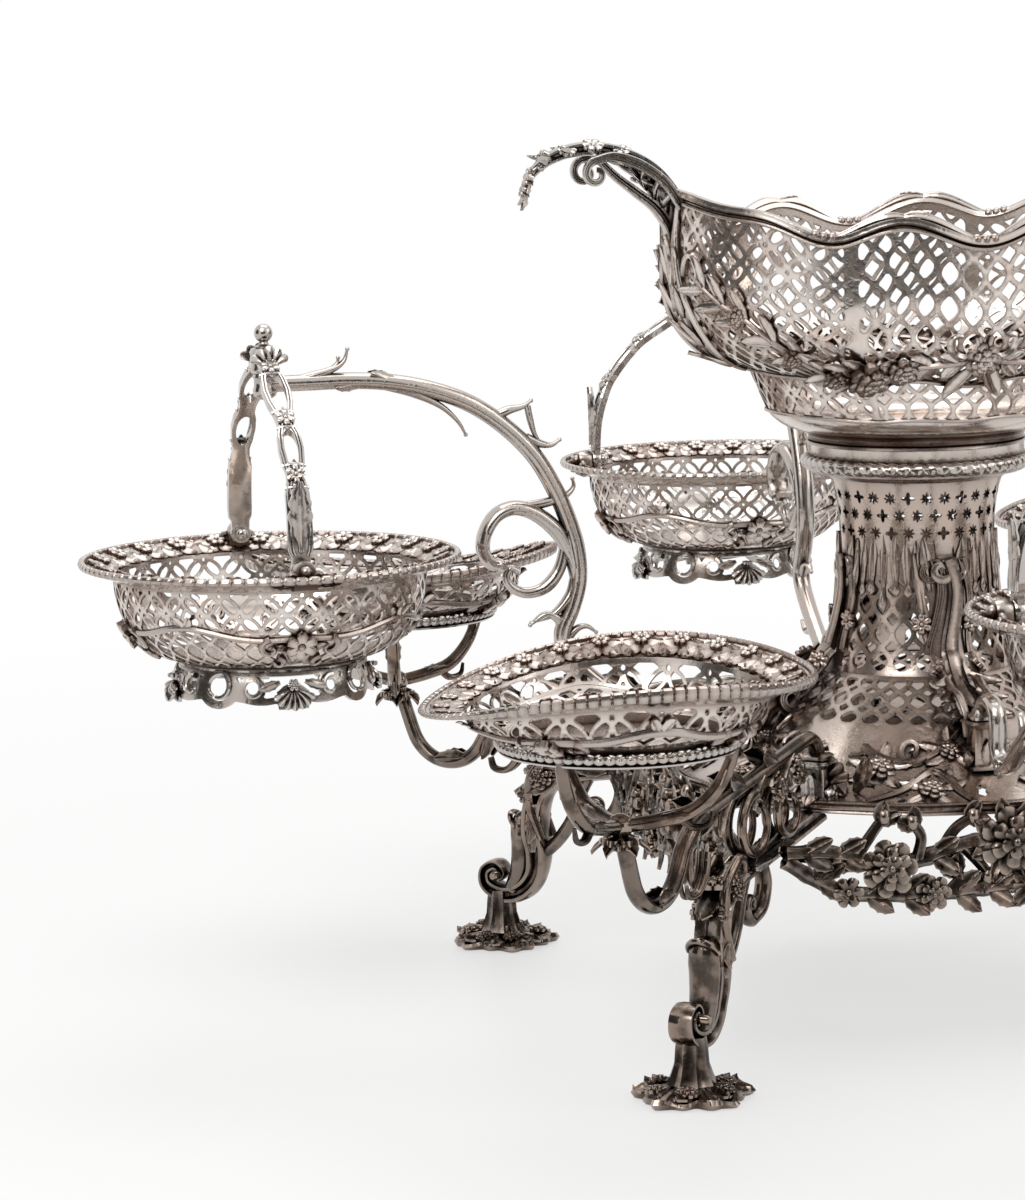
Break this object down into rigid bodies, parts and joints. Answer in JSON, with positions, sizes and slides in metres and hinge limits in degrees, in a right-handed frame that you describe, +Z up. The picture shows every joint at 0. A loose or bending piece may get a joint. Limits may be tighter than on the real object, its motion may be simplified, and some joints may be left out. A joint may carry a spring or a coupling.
{
  "type": "epergne",
  "caption": "Pierced silver table centrepiece: an oval basket on a waisted stem and scroll legs, with lift-out scroll arms for swinging baskets and round dishes.",
  "frame": {"origin": "on the table, under the axis of the stem", "axes": "+Z up along the stem; +X along the length of the centre basket; -Y is the front"},
  "size_m": [0.7112, 0.7112, 0.3671],
  "materials": {
    "silver_bright": "hand-polished antique silver sheet, pierced, with warm tarnish in the recesses",
    "silver_cast": "cast and chased antique silver, bright on the ridges and brown in the hollows",
    "silver_dark": "heavily toned cast antique silver, grey-brown with rubbed highlights"
  },
  "bodies": {
    "stand": {"base_plate": "silver_bright", "base_moulding": "silver_cast", "stem": "silver_bright", "stem_buttresses": "silver_cast", "collar": "silver_bright", "gadroon_ring": "silver_cast", "arm_sockets": "silver_cast", "dish_sockets": "silver_cast", "apron_right": "silver_dark", "apron_back": "silver_dark", "apron_left": "silver_dark", "apron_front": "silver_dark", "leg_back_right": "silver_dark", "leg_back_left": "silver_dark", "leg_front_left": "silver_dark", "leg_front_right": "silver_dark"},
    "centre": {"centre_basket": "silver_bright", "centre_foot": "silver_bright", "centre_handle_left": "silver_cast", "centre_handle_right": "silver_cast"},
    "right_arm": {"arm_right": "silver_cast", "finial_right": "silver_cast"},
    "right_handle": {"handle_right": "silver_cast"},
    "right_basket": {"basket_right": "silver_bright", "basket_skirt_right": "silver_cast", "basket_pins_right": "silver_cast"},
    "back_arm": {"arm_back": "silver_cast", "finial_back": "silver_cast"},
    "back_handle": {"handle_back": "silver_cast"},
    "back_basket": {"basket_back": "silver_bright", "basket_skirt_back": "silver_cast", "basket_pins_back": "silver_cast"},
    "left_arm": {"arm_left": "silver_cast", "finial_left": "silver_cast"},
    "left_handle": {"handle_left": "silver_cast"},
    "left_basket": {"basket_left": "silver_bright", "basket_skirt_left": "silver_cast", "basket_pins_left": "silver_cast"},
    "front_arm": {"arm_front": "silver_cast", "finial_front": "silver_cast"},
    "front_handle": {"handle_front": "silver_cast"},
    "front_basket": {"basket_front": "silver_bright", "basket_skirt_front": "silver_cast", "basket_pins_front": "silver_cast"},
    "back_right_branch": {"dish_arm_back_right": "silver_dark"},
    "back_right_dish": {"dish_back_right": "silver_bright"},
    "back_left_branch": {"dish_arm_back_left": "silver_dark"},
    "back_left_dish": {"dish_back_left": "silver_bright"},
    "front_left_branch": {"dish_arm_front_left": "silver_dark"},
    "front_left_dish": {"dish_front_left": "silver_bright"},
    "front_right_branch": {"dish_arm_front_right": "silver_dark"},
    "front_right_dish": {"dish_front_right": "silver_bright"}
  },
  "joints": [
    {"name": "centre_basket_lift", "type": "slide", "parent": "stand", "child": "centre", "axis": [0, 0, 1], "range_m": [0, 0.02]},
    {"name": "right_arm_lift", "type": "slide", "parent": "stand", "child": "right_arm", "axis": [0, 0, 1], "range_m": [0, 0.018]},
    {"name": "right_handle_swivel", "type": "hinge", "parent": "right_arm", "child": "right_handle", "pos_m": [0.27907, 0, 0.27629], "axis": [0, 0, 1], "range_deg": [-40, 40]},
    {"name": "right_basket_swing", "type": "hinge", "parent": "right_handle", "child": "right_basket", "pos_m": [0.27907, 0, 0.20362], "axis": [0, 1, 0], "range_deg": [-30, 30]},
    {"name": "back_arm_lift", "type": "slide", "parent": "stand", "child": "back_arm", "axis": [0, 0, 1], "range_m": [0, 0.018]},
    {"name": "back_handle_swivel", "type": "hinge", "parent": "back_arm", "child": "back_handle", "pos_m": [0, 0.27907, 0.27629], "axis": [0, 0, 1], "range_deg": [-40, 40]},
    {"name": "back_basket_swing", "type": "hinge", "parent": "back_handle", "child": "back_basket", "pos_m": [0, 0.27907, 0.20362], "axis": [-1, 0, 0], "range_deg": [-30, 30]},
    {"name": "left_arm_lift", "type": "slide", "parent": "stand", "child": "left_arm", "axis": [0, 0, 1], "range_m": [0, 0.018]},
    {"name": "left_handle_swivel", "type": "hinge", "parent": "left_arm", "child": "left_handle", "pos_m": [-0.27907, 0, 0.27629], "axis": [0, 0, 1], "range_deg": [-40, 40]},
    {"name": "left_basket_swing", "type": "hinge", "parent": "left_handle", "child": "left_basket", "pos_m": [-0.27907, 0, 0.20362], "axis": [0, -1, 0], "range_deg": [-30, 30]},
    {"name": "front_arm_lift", "type": "slide", "parent": "stand", "child": "front_arm", "axis": [0, 0, 1], "range_m": [0, 0.018]},
    {"name": "front_handle_swivel", "type": "hinge", "parent": "front_arm", "child": "front_handle", "pos_m": [0, -0.27907, 0.27629], "axis": [0, 0, 1], "range_deg": [-40, 40]},
    {"name": "front_basket_swing", "type": "hinge", "parent": "front_handle", "child": "front_basket", "pos_m": [0, -0.27907, 0.20362], "axis": [1, 0, 0], "range_deg": [-30, 30]},
    {"name": "back_right_branch_lift", "type": "slide", "parent": "stand", "child": "back_right_branch", "axis": [0, 0, 1], "range_m": [0, 0.018]},
    {"name": "back_right_dish_lift", "type": "slide", "parent": "back_right_branch", "child": "back_right_dish", "axis": [0, 0, 1], "range_m": [0, 0.015]},
    {"name": "back_left_branch_lift", "type": "slide", "parent": "stand", "child": "back_left_branch", "axis": [0, 0, 1], "range_m": [0, 0.018]},
    {"name": "back_left_dish_lift", "type": "slide", "parent": "back_left_branch", "child": "back_left_dish", "axis": [0, 0, 1], "range_m": [0, 0.015]},
    {"name": "front_left_branch_lift", "type": "slide", "parent": "stand", "child": "front_left_branch", "axis": [0, 0, 1], "range_m": [0, 0.018]},
    {"name": "front_left_dish_lift", "type": "slide", "parent": "front_left_branch", "child": "front_left_dish", "axis": [0, 0, 1], "range_m": [0, 0.015]},
    {"name": "front_right_branch_lift", "type": "slide", "parent": "stand", "child": "front_right_branch", "axis": [0, 0, 1], "range_m": [0, 0.018]},
    {"name": "front_right_dish_lift", "type": "slide", "parent": "front_right_branch", "child": "front_right_dish", "axis": [0, 0, 1], "range_m": [0, 0.015]}
  ]
}
